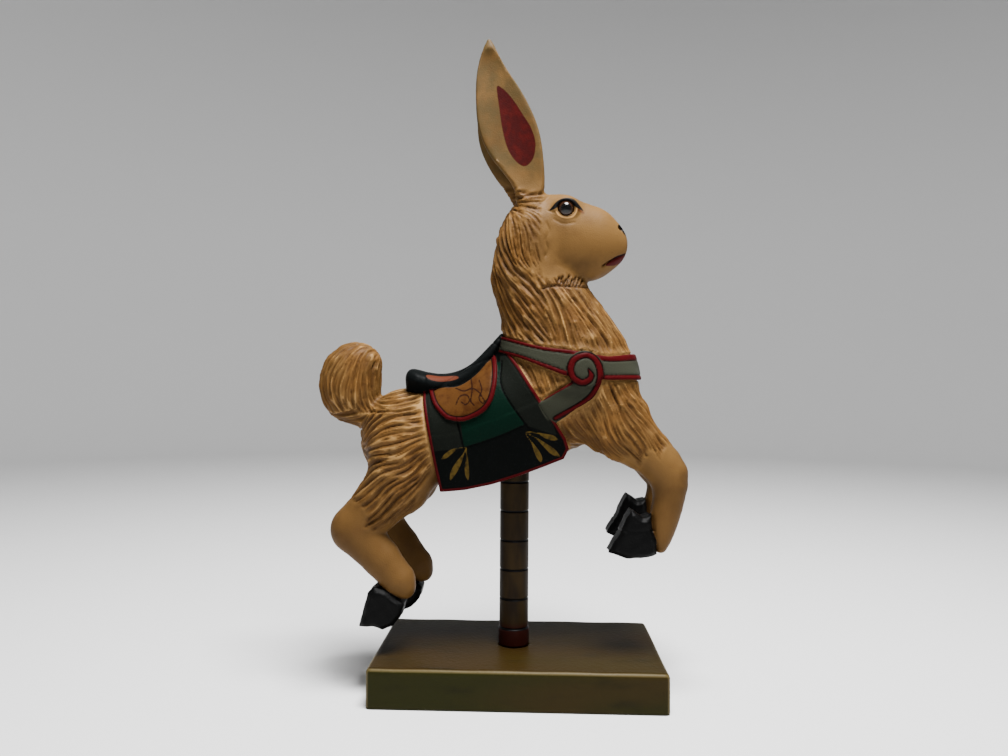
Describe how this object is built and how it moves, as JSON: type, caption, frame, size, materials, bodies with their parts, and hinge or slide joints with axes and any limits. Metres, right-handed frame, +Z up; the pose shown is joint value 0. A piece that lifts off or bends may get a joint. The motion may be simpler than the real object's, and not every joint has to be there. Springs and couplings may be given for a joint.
{
  "type": "carousel rabbit",
  "caption": "Carved and painted wooden rabbit in a leaping carousel pose, with saddle, cloth and breast strap, on a turned pole and a rectangular plinth.",
  "frame": {"origin": "centre of the plinth's underside", "axes": "+Z up, +X the way the rabbit faces, so -Y is the rabbit's right side"},
  "size_m": [0.2661, 0.113, 0.4648],
  "materials": {
    "painted_wood": "carved wood painted cream with brown antiquing, satin",
    "eye_glass": "glossy dark brown glass",
    "pole_wood": "stained dark brown, satin",
    "plinth_wood": "painted olive and brown, satin, worn at the edges"
  },
  "bodies": {
    "root": {"rabbit": "painted_wood", "right_eye": "eye_glass", "left_eye": "eye_glass", "pole": "pole_wood", "plinth": "plinth_wood"}
  },
  "joints": []
}
